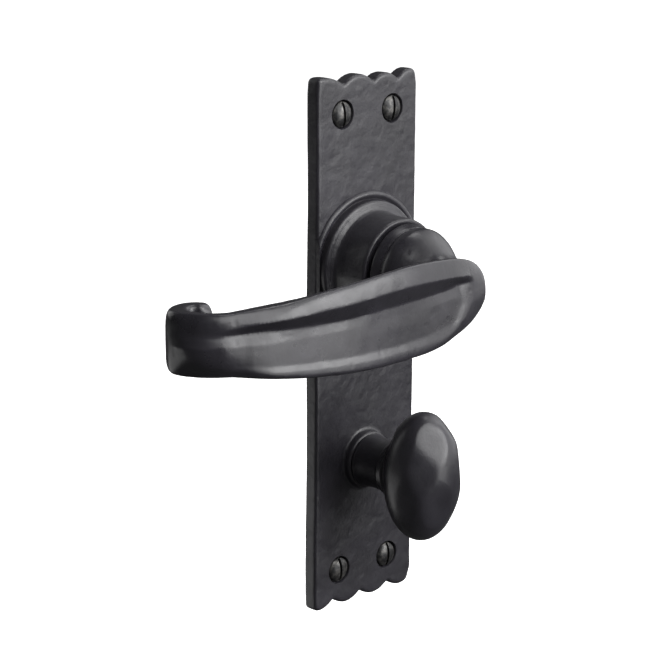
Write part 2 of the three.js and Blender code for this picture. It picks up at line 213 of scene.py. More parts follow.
def plate_outline(settings, samples=40):
    """The plate's outline, anticlockwise from the front: hand-cut sides and four humps at each end.

    A hump between two notches is z = peak - depth (2t - 1)^2; the outer ones run past rounded corners.  The
    third hump at the top dips by a bell curve, and the sides wander by sines.
    """
    half = PLATE_HIGH[0] + 0.2
    peak = PLATE_HIGH[2] + 0.4
    depth = settings.hump_depth / MM
    corner = 1.6
    dip_at, dip_width = 7.2, 3.2
    straight = peak - 4.2

    def end(notches, sign):
        notches = np.array(notches) / MM
        outer = (6.2, 3.6) if sign > 0 else (4.6, 3.0)
        marks = [-half - outer[0] + 1.6, *notches, half + outer[1] - 1.2]
        pieces = []
        for low, high in zip(marks[:-1], marks[1:]):
            x = np.linspace(low, high, samples)
            t = (x - low) / (high - low)
            z = peak - depth * (2 * t - 1) ** 2
            z += 0.15 - 0.45 * np.exp(-((x - dip_at) / dip_width) ** 2) if sign > 0 else 0.35
            from_side = np.clip(half - corner - np.abs(x), -corner, 0) / corner
            z -= corner * (1 - np.sqrt(1 - from_side ** 2))
            pieces.append(np.stack([x, sign * z], axis=1)[np.abs(x) <= half - 0.03])
        line = np.concatenate(pieces)
        return line[::-1] if sign > 0 else line

    z = np.linspace(-straight, straight, 240)
    wander = 0.15 * np.sin(z / 9.0) * np.sin(z / 23.0 + 0.7)
    right = np.stack([half + 0.45 + 0.25 * smoothstep(-z, -70, 0) + wander, z], axis=1)
    left = np.stack([-half + 0.15 - 0.14 * np.sin(z / 11.0 + 1.0), z], axis=1)[::-1]
    outline = np.concatenate([end(settings.bottom_notches, -1), right, end(settings.top_notches, 1), left])
    return resampled(outline, 0.4)


def resampled(loop, spacing):
    """The closed polyline walked again at an even spacing."""
    closed = np.concatenate([loop, loop[:1]])
    along = np.concatenate([[0], np.cumsum(np.linalg.norm(np.diff(closed, axis=0), axis=1))])
    keep = np.concatenate([[True], np.diff(along) > 1e-6])
    count = int(along[-1] / spacing)
    at = np.linspace(0, along[-1], count, endpoint=False)
    return np.stack([np.interp(at, along[keep], closed[keep, k]) for k in (0, 1)], axis=1)


def plate_slab(settings):
    """The edge profile carried round the outline: inset r(1 - cos a), out t - r + r sin a at the front."""
    loop = plate_outline(settings)
    ahead, behind = np.roll(loop, -1, axis=0), np.roll(loop, 1, axis=0)
    tangent = ahead - behind
    tangent /= np.linalg.norm(tangent, axis=1)[:, None]
    inward = np.stack([-tangent[:, 1], tangent[:, 0]], axis=1)
    thickness, reach = settings.thickness / MM, settings.edge_round / MM
    angle = np.linspace(0, np.pi / 2, 7)
    inset = np.concatenate([[0.35, 0], reach * (1 - np.cos(angle))])
    out = np.concatenate([[0, 0.35], thickness - reach + reach * np.sin(angle)])
    place = loop[None] + inward[None] * inset[:, None, None]
    return np.stack([place[..., 0], np.broadcast_to(-out[:, None], place.shape[:2]), place[..., 1]], axis=2)


def boss_grid():
    """The stepped boss: a revolved profile whose rings are drawn in where they would pass the plate's sides.

    Inward from the foot: a crest, a hollow, the ring's wall and face with a fine step, and the drum.
    """
    foot, wall, bore, back = 21.1, 12.6, 9.9, 2.0
    crest = [(foot, 4.3), (20.8, 4.9, 0.3), (20.3, 5.4, 0.4), (19.6, 5.4, 0.3), (18.6, 4.7, 0.2)]
    ring = [(18.4, 6.6, 0.3), (18.0, 7.1, 0.3), (16.9, 7.35, 0.1), (16.6, 7.5, 0.1), (15.9, 7.8, 0.3)]
    drum = [(15.5, 8.6, 0.3), (15.25, 10.0, 0.3), (14.95, 17.9, 0.25), (14.55, 18.5, 0.25), (13.9, 18.5, 0.2)]
    profile = eased([(wall, back), (foot, back), *crest, *ring, *drum, (13.3, 18.2), (bore, 18.2)], 5)
    profile = np.concatenate([profile[1:], [(bore, 14.0), (wall, 14.0), (wall, back), (foot, back)]])
    grid = turned(finer(profile, 0.5), SPINDLE_Z, sides=200)
    limit = PLATE_HIGH[0] - 0.1
    pull = np.minimum(1, limit / np.maximum(np.abs(grid[..., 0]), 1e-6))
    grid[..., 0] *= pull
    grid[..., 2] = SPINDLE_Z + (grid[..., 2] - SPINDLE_Z) * pull
    return grid


def finer(line, spacing):
    """The polyline with points added so that no step is longer than the spacing."""
    steps = np.maximum(1, np.ceil(np.linalg.norm(np.diff(line, axis=0), axis=1) / spacing)).astype(int)
    runs = [a + (b - a) * np.linspace(0, 1, n, endpoint=False)[:, None]
            for a, b, n in zip(line[:-1], line[1:], steps)]
    return np.concatenate([*runs, line[-1:]])


def turn_ring_grid():
    """The low plain ring round the thumb-turn."""
    profile = [(0, 1), (8.4, 1), (8.4, 4.4), (8.3, 6.5, 0.4), (7.9, 7.0, 0.25), (0, 7.0)]
    return turned(eased(profile), TURN_Z, sides=128)


def chamber_grid():
    """Spring chamber behind the drum, open at the plate's back and bored through to the front."""
    cover, wall, bore = 17.7, 12.6, 9.9
    return turned([(0, -2), (cover, -2), (cover, 1.5), (wall, 1.5), (wall, 14), (bore, 14), (bore, 30),
                   (0, 30)], SPINDLE_Z)


def rod_grid(radius, back, front, z, x=0.0):
    """A round rod between two distances out."""
    return turned([(0, back), (radius, back), (radius, front), (0, front)], z, x, sides=24)


def turn_pocket_grid():
    """Pocket behind the thumb-turn for its bush and clip."""
    return turned([(0, -2), (9, -2), (9, 3), (6.6, 3), (6.6, 12), (0, 12)], TURN_Z, sides=64)


def screw_hole_grid(x, z):
    """Counterbored hole: 2.15 radius through, 3.95 above the head's seat, with a softened mouth."""
    return turned([(0, -2), (2.15, -2), (2.15, 2.1), (3.9, 2.1), (3.95, 4.2), (4.3, 4.7), (4.3, 9), (0, 9)],
                  z, x, sides=56)


def half_height(x, settings):
    """Half the grip's height: H (1 - u^2)^0.37 to the blunt right end, H - 5 w^1.5 to the scroll."""
    widest, scroll_start = -34.0, -93.5
    greatest = settings.half_height / MM + 0.25
    u = np.clip((x - widest) / (GRIP_END - widest), 0, 1)
    w = np.maximum.accumulate(np.clip((widest - x) / (widest - scroll_start), 0, 1))
    return np.where(x > widest, greatest * (1 - u ** 2) ** 0.37, greatest - 5.0 * w ** 1.5)


def grip_line(settings):
    """Middle line of the grip in plan: an arc, then a scroll whose curvature grows evenly along it.

    Returns x, out, heading, the share of the scroll travelled and the distance gone, at every station.
    """
    radius, arc = settings.arc_radius / MM, settings.arc_length / MM
    crown_x, crown_out = settings.crown_x / MM, settings.crown_out / MM
    scroll, tight = settings.scroll_length / MM, settings.scroll_radius / MM
    start = math.asin((GRIP_END - crown_x) / radius)
    ease = np.linspace(0, 1, 200)
    s = arc * (ease - (1 - ease) ** 3 * ease * 0.9)
    turn = start - s / radius
    x, out = crown_x + radius * np.sin(turn), crown_out - radius * (1 - np.cos(turn))
    heading = np.arctan2(np.sin(turn), -np.cos(turn))
    share = np.linspace(0, 1, 110)
    step = scroll * share[1]
    bend = 1 / radius + share * (1 / tight - 1 / radius)
    swing = heading[-1] + np.concatenate([[0], np.cumsum((bend[1:] + bend[:-1]) / 2 * step)])
    middle = (swing[1:] + swing[:-1]) / 2
    scroll_x = x[-1] + np.cumsum(np.cos(middle) * step)
    scroll_out = out[-1] + np.cumsum(np.sin(middle) * step)
    return (np.concatenate([x, scroll_x]), np.concatenate([out, scroll_out]),
            np.concatenate([heading, swing[1:]]), np.concatenate([0 * ease, share[1:]]),
            np.concatenate([s, arc + scroll * share[1:]]))


def front_face(x, v, gone, settings):
    """How far the grip's front stands off its middle line at height v, straight between eight heights.

    From the top edge, v = 1, to the bottom, v = -1: a crowned border, the scoop's steep upper wall, its
    crease, a long face and a lower lip.  The scoop ends bluntly at the left and in a rounded end at the
    right; outside it the face is a plain slope.  Toward the scroll both edges of the face fall back.
    """
    left_part = np.clip((-45 - x) / 35, 0, 1)
    upper = 0.60 + 0.03 * left_part - 0.12 * np.clip((x + 45) / 45, 0, 1) ** 2
    crease = 0.17 + 0.17 * np.clip((x + 38) / 32, 0, 1) ** 2.2 + 0.18 * left_part
    lower = -0.62 + 0.12 * np.clip((x + 20) / 15, 0, 1) ** 2
    fall = (3.0 * np.clip(0.15 - v, 0, 1) ** 2 * smoothstep(gone, 83, 99)
            + 1.3 * smoothstep(v, 0.0, 0.5) * smoothstep(gone, 76, 95))
    plain = 0.45 - 0.45 * v - 0.5 * v * v
    heights = [np.ones_like(x), (1 + upper) / 2, upper, crease, crease - 0.2 - 0.2 * left_part,
               lower, lower - 0.16, -np.ones_like(x)]
    levels = [-0.4, 0.1, 0.6, 0.3 - settings.scoop_depth / MM, -1.05, -0.35, 0.4, 0.9]
    shaped = np.full(np.broadcast_shapes(x.shape, v.shape), levels[0])
    for high, low, start, end in zip(heights[:-1], heights[1:], levels[:-1], levels[1:]):
        shaped += (end - start) * np.clip((high - v) / (high - low), 0, 1)
    right_end = -3.4 - 9.0 * np.clip(0.15 - v, 0, 1) ** 2
    left_end = 100.5 - 15 * np.clip(-0.1 - v, 0, 1) ** 2 - 22 * np.clip(v - 0.1, 0, 1) ** 2
    right_start = right_end - 6.5 - 14 * np.clip(v - 0.35, 0, 1)
    past_right = smoothstep((x - right_start) / (right_end - right_start), 0, 1)
    inside = smoothstep(left_end + 4 - gone, 0, 15) * (1 - past_right)
    return plain + (shaped - plain) * inside - fall


def grip_grid(settings):
    """The grip: rounded sections, |n|^5 + |v|^5 = 1, scooped in front and bellied behind."""
    stations = grip_line(settings)
    height = half_height(stations[0], settings)[:, None]
    x, out, heading, share, gone = (column[:, None] for column in stations)
    angle = np.linspace(0, 2 * np.pi, 240, endpoint=False)[None]
    power = 2 / 5
    n = np.sign(np.cos(angle)) * np.abs(np.cos(angle)) ** power
    v = np.sign(np.sin(angle)) * np.abs(np.sin(angle)) ** power
    curl = np.maximum(smoothstep(-x, 60, 84), np.where(share > 0, 1.0, 0.0))
    front = 1.7 + 2.0 * curl - 1.4 * share + 0.5 * smoothstep(share, 0.05, 0.25)
    back = (1.3 + 1.6 * (1 - v * v)) * (1 - curl) + (2.8 - 0.6 * share) * curl
    face = front_face(x, v, gone, settings) * (1 - smoothstep(share, 0.42, 0.6))
    offset = np.where(n > 0, n * front + face * smoothstep(n, 0.1, 0.9), n * back)
    right_round = np.sqrt(np.clip(1 - smoothstep(x, GRIP_END - 1.6, GRIP_END) ** 2, 0, 1))
    tip_round = np.sqrt(1 - np.clip((share - 0.93) / 0.07, 0, 1) ** 2)
    offset = offset * right_round * tip_round
    height = (height + 0.75 * smoothstep(share, 0.1, 0.4)) * (0.35 + 0.65 * tip_round)
    px = x + np.sin(heading) * offset
    pout = out - np.cos(heading) * offset
    sag = 0.7 * smoothstep(-x, 28, 60) * (1 - smoothstep(gone, 72, 98)) - 0.15 * smoothstep(x, -25, 0)
    pz = SPINDLE_Z - sag + height * v
    return np.stack([px, -pout, pz], axis=2)


def neck_grid():
    """Shank with its clip groove, stepped collar and bulb turned in one, down to a slim waist."""
    shank = [(0, 1.9), (8, 1.9), (8, 2.3), (7.2, 2.3), (7.2, 3.4), (8, 3.4), (8, 19.5)]
    collar = eased([(13.2, 19.5), (13.85, 19.6, 0.3), (13.8, 20.3, 0.4), (13.15, 22.4, 0.3),
                    (12.45, 22.9, 0.2), (13.25, 23.3, 0.3), (13.4, 24.6)])
    bulb = through([(13.35, 24.8), (13.2, 25.9), (12.6, 27.2), (11.6, 28.8), (10.3, 30.5), (8.9, 32.3),
                    (7.6, 34), (6.7, 35.8), (6.1, 37.5), (5.9, 39)], 48)
    return turned(np.concatenate([shank, collar, bulb, [(0, 39)]]), SPINDLE_Z, sides=128)


def gooseneck_grid():
    """The waist carried into the grip's back: ellipses that drift left, widen and tilt to its slope."""
    rings = 40
    line = through([(0, 36), (-0.2, 39), (-2.0, 42.6), (-5.6, 46.6)], rings)
    size = through([(5.85, 5.85), (5.8, 5.7), (6.4, 5.3), (7.4, 5.2)], rings)
    tilt = np.linspace(0, 1, rings)[:, None] ** 2 * -0.27
    angle = np.linspace(0, 2 * np.pi, 72, endpoint=False)
    across = size[:, :1] * np.cos(angle)
    x = line[:, :1] + across
    out = line[:, 1:] + tilt * across
    z = SPINDLE_Z + size[:, 1:] * np.sin(angle)
    return np.stack([x, -out, z], axis=2)


KNOB_FLATS = [  # direction of each hammered flat (x, out, z) on a unit knob and its distance from the middle
    ((-0.31, 0.69, 0.63), 0.925), ((-0.62, 0.70, 0.25), 0.94), ((-0.27, 0.90, -0.35), 0.93),
    ((0.49, 0.41, 0.77), 0.965), ((0.75, 0.64, 0.16), 0.95), ((0.60, 0.50, -0.63), 0.972),
    ((-0.75, 0.30, -0.20), 0.96), ((-0.55, -0.60, 0.40), 0.95), ((0.50, -0.75, -0.30), 0.95),
    ((0.10, -0.60, -0.80), 0.96),
]


def knob_grid(settings):
    """Neck and knob as one surface: ellipses along the axis, with softly hammered flats on the knob.

    A flat at distance h, facing m, limits the reach in direction d on a unit knob to h / (m . d); the soft
    minimum -log(sum of exp(-k reach)) / k blends the flats.
    """
    wide, deep, tall = np.array(settings.knob_half) / MM
    middle = settings.knob_out / MM
    waist = settings.neck / MM
    shank_out = np.array([0.6, 0.6, 1.1, 1.1, 1.9, 1.9, 7.4, 7.4])
    shank = np.array([0, 5.2, 5.2, 4.6, 4.6, 5.2, 5.2, waist + 0.6])
    flare = through([(waist + 0.5, 7.6), (waist + 0.3, 8.4), (waist, 12.0), (waist + 0.4, 16.5)], 40)
    swell = np.linspace(0.0, np.pi, 130)
    below = np.zeros(len(shank) + len(flare))
    out = np.concatenate([shank_out, flare[:, 1], middle - deep * np.cos(swell)])[:, None]
    neck = np.concatenate([shank, flare[:, 0], (waist + 0.9) * np.ones(len(swell))])[:, None]
    bulge = np.concatenate([below, np.sin(swell)])[:, None]
    on_knob = np.concatenate([below, smoothstep(swell, 0.55, 1.1)])[:, None]
    neck_fade = np.concatenate([below + 1, 1 - smoothstep(swell, 0.5, 1.3)])[:, None]
    angle = np.linspace(0, 2 * np.pi, 144, endpoint=False)[None]
    along = (out - middle) / deep + 0 * angle
    direction = np.stack([bulge * np.cos(angle), along, bulge * np.sin(angle)], axis=2)
    sharp = 45.0
    total = np.full(along.shape, np.exp(-sharp))
    for facing, h in KNOB_FLATS:
        m = np.array(facing) / np.linalg.norm(facing)
        dot = np.clip(direction @ m, 0.05, None)
        total += np.exp(-sharp * h / dot)
    reach = np.minimum(-np.log(total) / sharp + 0.006, 1.0)
    factor = 1 + (reach - 1) * on_knob
    blend = 0.9 * neck_fade + 1e-6
    rx = smooth_max(wide * bulge * factor, neck * neck_fade, blend)
    rz = smooth_max(tall * bulge * factor, neck * neck_fade, blend)
    rx[0], rz[0], rx[-1], rz[-1] = 0, 0, 0, 0
    pout = middle + (out - middle) * factor
    return np.stack([rx * np.cos(angle), -pout, TURN_Z + rz * np.sin(angle)], axis=2)


def screw_grid(x, z, settings):
    """Round head, core and point in one; the thread adds h max(0, cos(a - 2 pi out / pitch))^3."""
    seat, length = 2.4, 11
    head, tip = settings.head / MM, seat - length
    dome = through([(head, seat), (head, seat + 1.5), (head * 0.93, seat + 2.0), (head * 0.7, seat + 2.55),
                    (head * 0.35, seat + 2.9), (0.02, seat + 3.0)], 30)
    out = np.linspace(tip, seat, 150)
    core = 1.35 * np.sqrt(smoothstep(out, tip - 0.6, tip + 5))
    angle = np.linspace(0, 2 * np.pi, 48, endpoint=False)[None]
    middle = np.zeros_like(angle)
    pitch = 1.3
    ridge = np.clip(np.cos(angle - 2 * np.pi * out[:, None] / pitch), 0, 1) ** 3
    share = smoothstep(out, tip, tip + 2.5) * (1 - smoothstep(out, seat - 3.2, seat - 2.4))
    shank = core[:, None] + settings.thread / MM * ridge * share[:, None]
    shank[0] = 0
    radius = np.concatenate([shank, dome[:, :1] + middle, middle])
    height = np.concatenate([out, dome[:, 1], [seat + 3.01]])
    return np.stack([x + radius * np.cos(angle), np.broadcast_to(-height[:, None], radius.shape),
                     z + radius * np.sin(angle)], axis=2)


def block_grid(low, high):
    """A box as a grid of four corners carried from low y to high y, with its two ends drawn to points."""
    (x0, o0, z0), (x1, o1, z1) = low, high
    corners = np.array([(x0, z0), (x1, z0), (x1, z1), (x0, z1)], float)
    middle = np.broadcast_to(corners.mean(0), (4, 2))
    rows = [(middle, o0), (corners, o0), (corners, o1), (middle, o1)]
    return np.array([[(x, -out, z) for x, z in ring] for ring, out in rows])


# ---------------------------------------------------------------- meshes

def mesh_from_grid(name, grid):
    """A closed skin from a grid of rings in millimetres; rings drawn to a point become poles."""
    rows, columns = grid.shape[:2]
    index = np.arange(rows * columns).reshape(rows, columns)
    following = np.roll(index, -1, axis=1)
    quads = np.stack([index[:-1], following[:-1], following[1:], index[1:]], axis=2).reshape(-1, 4)
    mesh = bpy.data.meshes.new(name)
    mesh.from_pydata((grid.reshape(-1, 3) * MM).tolist(), [], quads.tolist())
    shape = bmesh.new()
    shape.from_mesh(mesh)
    bmesh.ops.remove_doubles(shape, verts=shape.verts, dist=1e-7)
    bmesh.ops.holes_fill(shape, edges=[edge for edge in shape.edges if edge.is_boundary], sides=0)
    bmesh.ops.triangulate(shape, faces=[face for face in shape.faces if len(face.verts) > 4])
    bmesh.ops.recalc_face_normals(shape, faces=shape.faces)
    shape.to_mesh(mesh)
    shape.free()
    return mesh


def add_object(name, mesh):
    piece = bpy.data.objects.new(name, mesh)
    bpy.context.scene.collection.objects.link(piece)
    return piece


def settled(piece):
    """Applies the piece's modifiers and leaves their result as its plain mesh."""
    bpy.context.view_layer.update()
    made = piece.evaluated_get(bpy.context.evaluated_depsgraph_get())
    mesh = bpy.data.meshes.new_from_object(made)
    piece.modifiers.clear()
    old, piece.data = piece.data, mesh
    mesh.name = piece.name
    bpy.data.meshes.remove(old)
    return piece


def joined(name, *grids):
    """One mesh of closed skins that overlap; the remesh that follows melts them together."""
    shape = bmesh.new()
    for grid in grids:
        part = mesh_from_grid("part", grid)
        shape.from_mesh(part)
        bpy.data.meshes.remove(part)
    mesh = bpy.data.meshes.new(name)
    shape.to_mesh(mesh)
    shape.free()
    return add_object(name, mesh)


def cut(piece, *grids):
    """Takes each closed skin out of the piece."""
    helpers = [add_object("cutter", mesh_from_grid("cutter", grid)) for grid in grids]
    for helper in helpers:
        step = piece.modifiers.new("Cut", "BOOLEAN")
        step.operation, step.object, step.solver = "DIFFERENCE", helper, "EXACT"
    settled(piece)
    for helper in helpers:
        mesh = helper.data
        bpy.data.objects.remove(helper)
        bpy.data.meshes.remove(mesh)
    return piece


def cast_skin(piece, voxel, smoothing):
    """Remeshes a piece as one even skin and softens it as a casting is."""
    remesh = piece.modifiers.new("Even skin", "REMESH")
    remesh.mode, remesh.voxel_size = "VOXEL", voxel * MM
    soften = piece.modifiers.new("Soften", "SMOOTH")
    soften.factor, soften.iterations = 0.5, smoothing
    return settled(piece)


def raised(piece, relief):
    """Moves every vertex along its normal by relief(places, normals), in millimetres."""
    mesh = piece.data
    count = len(mesh.vertices)
    place, normal = np.empty(count * 3), np.empty(count * 3)
    mesh.vertices.foreach_get("co", place)
    mesh.vertex_normals.foreach_get("vector", normal)
    place, normal = place.reshape(-1, 3), normal.reshape(-1, 3)
    place += normal * relief(place / MM, normal)[:, None] * MM
    mesh.vertices.foreach_set("co", place.ravel())
    mesh.update()
    return piece


def merged(piece, other):
    """Adds the other piece's skin to the first and drops the other."""
    shape = bmesh.new()
    shape.from_mesh(piece.data)
    shape.from_mesh(other.data)
    shape.to_mesh(piece.data)
    shape.free()
    spare = other.data
    bpy.data.objects.remove(other)
    bpy.data.meshes.remove(spare)
    return piece


def smooth(piece, sharp_angle=None):
    piece.data.polygons.foreach_set("use_smooth", np.ones(len(piece.data.polygons), bool))
    if sharp_angle:
        piece.data.set_sharp_from_angle(angle=math.radians(sharp_angle))
    piece.data.update()


def finished(piece, body, slot, material, *nodes):
    """Gives a piece its material and its body, and hides the CAD nodes it stands for; the finish slot is not used.
    """
    piece.data.materials.clear()
    piece.data.materials.append(material)
    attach(piece, body)
    if nodes:
        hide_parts(*nodes)
    return piece


# ---------------------------------------------------------------- materials

class Nodes:
    """Small helper that adds shader nodes to one material and links them."""

    def __init__(self, name):
        self.material = bpy.data.materials.get(name) or bpy.data.materials.new(name)
        self.material.use_nodes = True
        self.tree = self.material.node_tree
        self.tree.nodes.clear()
        self.output = self.tree.nodes.new("ShaderNodeOutputMaterial")
        self.shader = self.tree.nodes.new("ShaderNodeBsdfPrincipled")
        self.link(self.shader, "BSDF", self.output, "Surface")
        self.coordinates = self.tree.nodes.new("ShaderNodeTexCoord")

    def link(self, source, output, target, socket):
        self.tree.links.new(source.outputs[output], target.inputs[socket])

    def noise(self, millimetres, detail=3.0, roughness=0.55):
        node = self.tree.nodes.new("ShaderNodeTexNoise")
        node.inputs["Scale"].default_value = 1 / (millimetres * MM)
        node.inputs["Detail"].default_value = detail
        node.inputs["Roughness"].default_value = roughness
        self.link(self.coordinates, "Object", node, "Vector")
        return node

    def ramp(self, source, stops):
        node = self.tree.nodes.new("ShaderNodeValToRGB")
        elements = node.color_ramp.elements
        while len(elements) < len(stops):
            elements.new(0.5)
        for element, (position, colour) in zip(elements, stops):
            element.position = position
            element.color = colour if isinstance(colour, (tuple, list)) else (colour, colour, colour, 1)
        self.link(source, "Fac" if "Fac" in source.outputs else 0, node, "Fac")
        return node

    def bump(self, source, height, before=None, output="Fac"):
        node = self.tree.nodes.new("ShaderNodeBump")
        node.inputs["Distance"].default_value = height * MM
        self.link(source, output, node, "Height")
        if before:
            self.link(before, "Normal", node, "Normal")
        return node


def scaled(colour, factor):
    return (*(min(channel * factor, 1.0) for channel in colour[:3]), 1)


def black_coat(name, colour, roughness, grain=0.05, grain_size=1.1):
    """Satin black coat over cast iron: cloudy tone, uneven sheen, fine sand-cast grain and shallow pits."""
    nodes = Nodes(name)
    cloud = nodes.noise(14, 4)
    tone = nodes.ramp(cloud, [(0.35, scaled(colour, 0.8)), (0.65, scaled(colour, 1.25))])
    nodes.link(tone, "Color", nodes.shader, "Base Color")
    sheen = nodes.ramp(nodes.noise(5, 5), [(0.3, roughness - 0.05), (0.7, roughness + 0.07)])
    nodes.link(sheen, "Color", nodes.shader, "Roughness")
    fine = nodes.bump(nodes.noise(grain_size, 3), grain)
    broad = nodes.bump(nodes.noise(4.5, 2), grain * 2.2, fine)
    nodes.link(broad, "Normal", nodes.shader, "Normal")
    nodes.shader.inputs["Specular IOR Level"].default_value = 0.5
    nodes.shader.inputs["IOR"].default_value = 1.5
    return nodes.material


def plain_metal(name, colour, roughness, metallic=1.0):
    """Plated or tempered steel: faint streaks in tone and sheen, and a fine drawn grain."""
    nodes = Nodes(name)
    tone = nodes.ramp(nodes.noise(3, 5), [(0.3, scaled(colour, 0.85)), (0.7, scaled(colour, 1.1))])
    nodes.link(tone, "Color", nodes.shader, "Base Color")
    sheen = nodes.ramp(nodes.noise(1.2, 4), [(0.3, roughness - 0.06), (0.7, roughness + 0.1)])
    nodes.link(sheen, "Color", nodes.shader, "Roughness")
    nodes.link(nodes.bump(nodes.noise(0.35, 2), 0.01), "Normal", nodes.shader, "Normal")
    nodes.shader.inputs["Metallic"].default_value = metallic
    return nodes.material


def screw_black(name):
    """Blackened steel worn brighter in patches on the crown of the head."""
    nodes = Nodes(name)
    tone = nodes.ramp(nodes.noise(1.6, 5), [(0.45, (0.03, 0.03, 0.031, 1)), (0.66, (0.12, 0.116, 0.11, 1))])
    nodes.link(tone, "Color", nodes.shader, "Base Color")
    sheen = nodes.ramp(nodes.noise(1.0, 3), [(0.3, 0.30), (0.7, 0.45)])
    nodes.link(sheen, "Color", nodes.shader, "Roughness")
    nodes.link(nodes.bump(nodes.noise(0.5, 3), 0.02), "Normal", nodes.shader, "Normal")
    nodes.shader.inputs["Metallic"].default_value = 0.6
    return nodes.material


def moulded_nylon(name):
    """Black moulded nylon: nearly even, with a fine matt texture."""
    nodes = Nodes(name)
    tone = nodes.ramp(nodes.noise(2.5, 3), [(0.3, 0.012), (0.7, 0.02)])
    nodes.link(tone, "Color", nodes.shader, "Base Color")
    nodes.link(nodes.bump(nodes.noise(0.25, 2), 0.012), "Normal", nodes.shader, "Normal")
    nodes.shader.inputs["Roughness"].default_value = 0.55
    return nodes.material


# ---------------------------------------------------------------- operators

class HANDLE_OT_backplate(bpy.types.Operator):
    """Cast the backplate with its boss, drum, turn ring and screw recesses"""
    bl_idname = "handle.backplate"
    bl_label = "Backplate"

    def execute(self, context):
        settings = context.scene.handle_plate
        piece = joined("plate_casting", plate_slab(settings), turn_ring_grid())
        high = settings.relief / MM

        def relief(place, normal):
            """Broad swells, diagonal ridges 1 - 2|n| and fine grain, fading out on the sides and the back."""
            front = smoothstep(-normal[:, 1], 0.2, 0.8) * smoothstep(-place[:, 1], 3.2, 4.2)
            slant = place @ np.array([[0.95, 0, 0.25], [0, 1, 0], [-0.45, 0, 0.85]])
            swell = lattice_noise(place, 6.5, 3)
            ridges = 1 - 2 * np.abs(lattice_noise(slant, 3.3, 4))
            grain = lattice_noise(place, 1.6, 6)
            pits = -np.clip(lattice_noise(slant, 2.2, 5) - 0.5, 0, 1) * 1.4
            return high * (0.5 * swell + 0.2 * ridges + 0.14 * grain + 0.5 * pits) * (0.3 + 0.7 * front)

        def boss_relief(place, normal):
            """Slight unevenness on the boss where it stands clear of the slab."""
            swell, grain = lattice_noise(place, 5, 7), lattice_noise(place, 1.5, 8)
            return 0.35 * high * (0.5 * swell + 0.5 * grain) * (place[:, 1] < -4.6)

        raised(cast_skin(piece, 0.44, 2), relief)
        holes = [screw_hole_grid(*screw_centre(end, side))
                 for end in ("top", "bottom") for side in ("left", "right")]
        pilots = [rod_grid(1.35, -1, 6.6, SPINDLE_Z, x) for x in (-14.7, 14.7)]
        cut(piece, chamber_grid(), turn_pocket_grid(), *pilots, *holes)
        boss = raised(joined("boss", boss_grid()), boss_relief)
        stop_hole = rod_grid(1.1, 10, 15.8, SPINDLE_Z + 11.5)
        merged(piece, cut(boss, *pilots, stop_hole))
        smooth(piece, 40)
        finish = context.scene.handle_finish
        finished(piece, "plate", "black_casting",
                 black_coat("black_plate", finish.coat, finish.roughness, 0.06), "backplate")
        return {"FINISHED"}


def screw_centre(end, side):
    """Middle of a wood screw in millimetres, from its CAD node."""
    low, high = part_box(f"wood_screw_{end}_{side}")
    return (low.x + high.x) / 2 / MM, (low.z + high.z) / 2 / MM


class HANDLE_OT_lever(bpy.types.Operator):
    """Cast the lever: shank, collar, bulb, neck and the scooped grip with its scroll"""
    bl_idname = "handle.lever"
    bl_label = "Lever"

    def execute(self, context):
        settings = context.scene.handle_lever
        socket = 4.3
        hollow = block_grid((-socket, -2, SPINDLE_Z - socket), (socket, 25.3, SPINDLE_Z + socket))
        piece = joined("lever_casting", neck_grid(), gooseneck_grid(), grip_grid(settings))

        def relief(place, normal):
            """Slow and fine unevenness with shallow pits, on the part that shows."""
            shown = smoothstep(-place[:, 1], 19.5, 21)
            return shown * (0.12 * lattice_noise(place, 11, 11) + 0.045 * lattice_noise(place, 3.4, 12)
                            - 0.2 * np.clip(lattice_noise(place, 2.6, 13) - 0.62, 0, 1))

        raised(cast_skin(piece, 0.34, 2), relief)
        smooth(cut(piece, hollow), 50)
        finish = context.scene.handle_finish
        finished(piece, "lever", "black_casting",
                 black_coat("black_lever", finish.coat, finish.roughness - 0.06, 0.026, 0.9), "lever")
        return {"FINISHED"}


class HANDLE_OT_thumb_turn(bpy.types.Operator):
    """Make the oval thumb-turn with its neck and shank"""
    bl_idname = "handle.thumb_turn"
    bl_label = "Thumb-turn"

    def execute(self, context):
        knob = mesh_from_grid("turn_casting", knob_grid(context.scene.handle_turn))
        piece = add_object("turn_casting", knob)
        smooth(piece)
        finish = context.scene.handle_finish
        finished(piece, "turn", "black_casting",
                 black_coat("black_turn", finish.coat, finish.roughness - 0.03, 0.03, 1.0), "turn_knob")
        return {"FINISHED"}


class HANDLE_OT_screws(bpy.types.Operator):
    """Make the four slotted wood screws"""
    bl_idname = "handle.screws"
    bl_label = "Wood screws"

    def execute(self, context):
        settings = context.scene.handle_screws
        half_slot = settings.slot / MM / 2
        tilts = {("top", "left"): 4, ("top", "right"): -3, ("bottom", "left"): 2, ("bottom", "right"): -2}
        for (end, side), tilt in tilts.items():
            x, z = screw_centre(end, side)
            slot = block_grid((x - half_slot, 4.0, z - 5), (x + half_slot, 7.5, z + 5))
            turn = math.radians(tilt)
            dx, dz = slot[..., 0] - x, slot[..., 2] - z
            slot[..., 0] = x + dx * math.cos(turn) - dz * math.sin(turn)
            slot[..., 2] = z + dx * math.sin(turn) + dz * math.cos(turn)
            name = f"wood_screw_{end}_{side}"
            piece = joined(name + "_detailed", screw_grid(x, z, settings))
            cut(piece, slot)
            smooth(piece, 40)
            finished(piece, "plate", "black_screw", screw_black("blackened_screw"), name)
        return {"FINISHED"}


